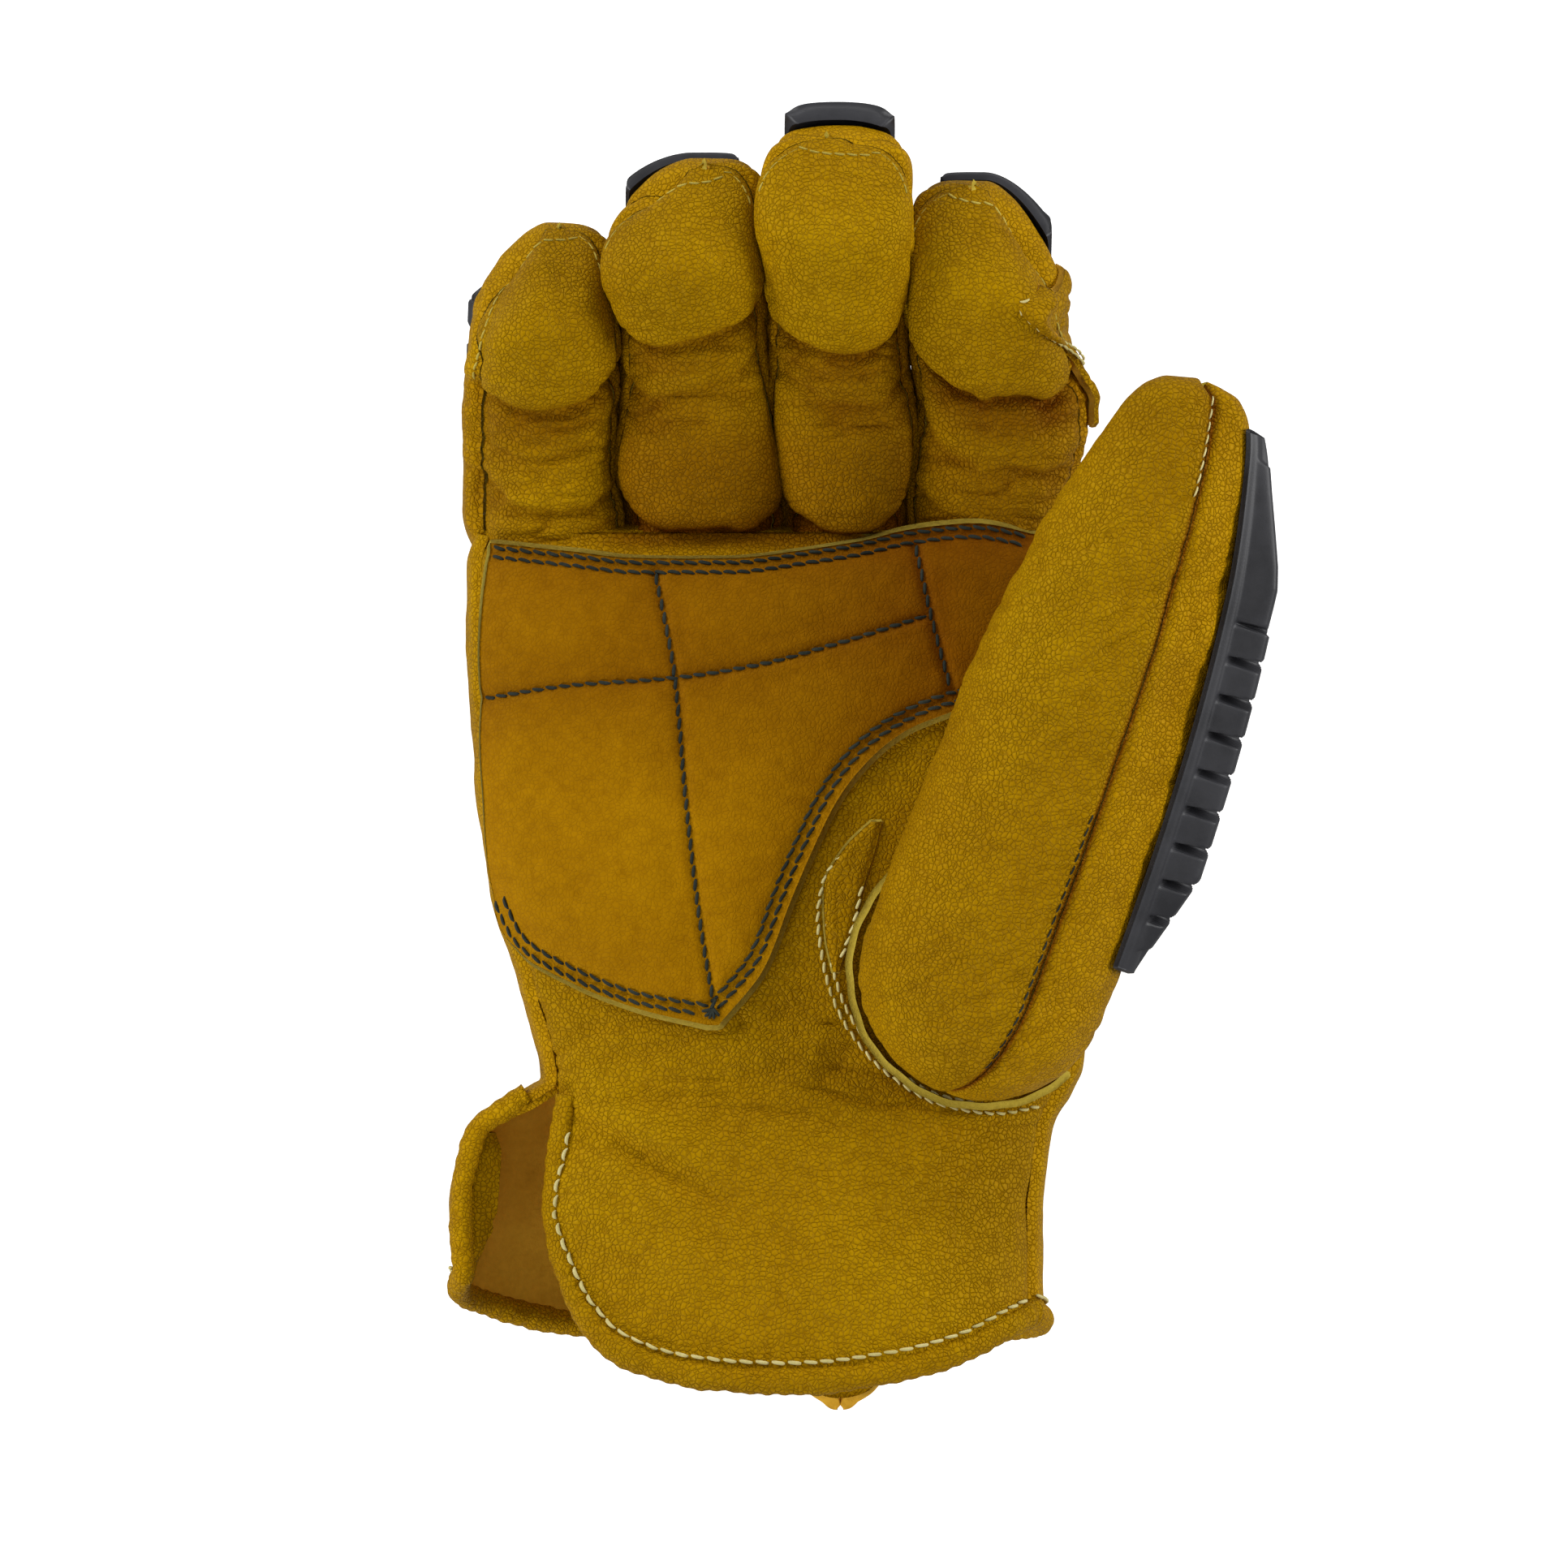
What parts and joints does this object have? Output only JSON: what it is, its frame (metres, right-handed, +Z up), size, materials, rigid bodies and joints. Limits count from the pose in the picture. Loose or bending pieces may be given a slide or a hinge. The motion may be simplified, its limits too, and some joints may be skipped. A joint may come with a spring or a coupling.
{
  "type": "impact work glove",
  "caption": "Right-hand leather work glove with moulded rubber guards on its back, fingers and thumb, a double-layer palm and an open gathered cuff.",
  "frame": {"origin": "on the surface that the glove lies on, under the centre of its box", "axes": "+Y from the cuff to the fingertips, +X towards the thumb, +Z up out of the palm"},
  "size_m": [0.145, 0.2317, 0.0777],
  "materials": {
    "palm_leather": "golden grain leather, satin",
    "back_leather": "golden grain leather, satin",
    "patch_leather": "golden grain leather, satin, slightly darker",
    "suede": "flesh side, matt and napped",
    "guard_rubber": "moulded, matt",
    "black_thread": "twisted thread",
    "cream_thread": "twisted thread",
    "elastic": "woven elastic tape"
  },
  "bodies": {
    "hand": {"palm_panel": "palm_leather", "back_panel": "back_leather", "palm_patch": "patch_leather", "thumb_gusset": "patch_leather", "thumb_welt": "palm_leather", "front_cuff_binding": "palm_leather", "back_cuff_binding": "back_leather", "wrist_elastic": "elastic", "knuckle_guard": "guard_rubber", "patch_thread": "black_thread", "thumb_thread": "cream_thread", "cuff_thread": "cream_thread"},
    "little_finger": {"little_finger_front": "palm_leather", "little_finger_back": "back_leather", "little_finger_gusset": "back_leather", "little_finger_guard": "guard_rubber"},
    "ring_finger": {"ring_finger_front": "palm_leather", "ring_finger_back": "back_leather", "ring_finger_gussets": "back_leather", "ring_finger_guard": "guard_rubber"},
    "middle_finger": {"middle_finger_front": "palm_leather", "middle_finger_back": "back_leather", "middle_finger_gussets": "back_leather", "middle_finger_guard": "guard_rubber"},
    "index_finger": {"index_finger_front": "palm_leather", "index_finger_back": "back_leather", "index_finger_gusset": "back_leather", "index_finger_guard": "guard_rubber", "index_reinforcement": "suede"},
    "thumb": {"thumb_front": "palm_leather", "thumb_back": "back_leather", "thumb_guard": "guard_rubber"},
    "pull_tab": {"pull_tab": "palm_leather"}
  },
  "joints": [
    {"name": "little_finger_curl", "type": "hinge", "parent": "hand", "child": "little_finger", "pos_m": [-0.05537, 0.04067, 0.028], "axis": [1, 0, 0], "range_deg": [-20, 40], "stiffness_Nm_per_rad": 0.25},
    {"name": "ring_finger_curl", "type": "hinge", "parent": "hand", "child": "ring_finger", "pos_m": [-0.02947, 0.04067, 0.028], "axis": [1, 0, 0], "range_deg": [-20, 40], "stiffness_Nm_per_rad": 0.25},
    {"name": "middle_finger_curl", "type": "hinge", "parent": "hand", "child": "middle_finger", "pos_m": [-0.00297, 0.04067, 0.028], "axis": [1, 0, 0], "range_deg": [-20, 40], "stiffness_Nm_per_rad": 0.25},
    {"name": "index_finger_curl", "type": "hinge", "parent": "hand", "child": "index_finger", "pos_m": [0.02333, 0.04067, 0.028], "axis": [1, 0, 0], "range_deg": [-20, 40], "stiffness_Nm_per_rad": 0.25},
    {"name": "thumb_spread", "type": "hinge", "parent": "hand", "child": "thumb", "pos_m": [0.02283, -0.03733, 0.052], "axis": [0, 0, -1], "range_deg": [0, 30], "stiffness_Nm_per_rad": 0.3},
    {"name": "pull_tab_bend", "type": "hinge", "parent": "hand", "child": "pull_tab", "pos_m": [-0.00257, -0.10853, 0.0026], "axis": [1, 0, 0], "range_deg": [-50, 8], "stiffness_Nm_per_rad": 0.002}
  ]
}
